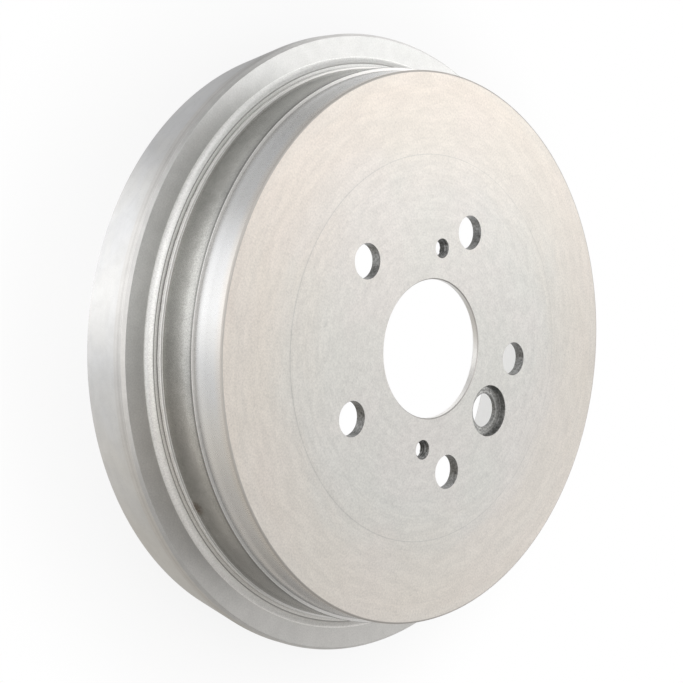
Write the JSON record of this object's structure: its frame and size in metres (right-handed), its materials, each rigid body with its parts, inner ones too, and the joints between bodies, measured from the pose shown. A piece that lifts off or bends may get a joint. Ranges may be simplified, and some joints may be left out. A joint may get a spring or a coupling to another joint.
{
  "type": "brake drum",
  "caption": "Cast iron rear brake drum with a turned wheel face, a central pilot bore, stud holes, threaded puller holes, an adjuster hole and a flanged rim.",
  "frame": {"origin": "on the axle line, in the plane of the turned seat inside the drum that bolts against the hub", "axes": "+Z along the axle, outboard, out of the wheel face; +Y through the first stud hole"},
  "size_m": [0.2826, 0.2826, 0.0697],
  "materials": {
    "drum_iron": "fine turned wheel face, barrel and friction surface; as-cast grey on the lower barrel, bead, flange and rim"
  },
  "bodies": {
    "root": {"brake_drum": "drum_iron"}
  },
  "joints": []
}
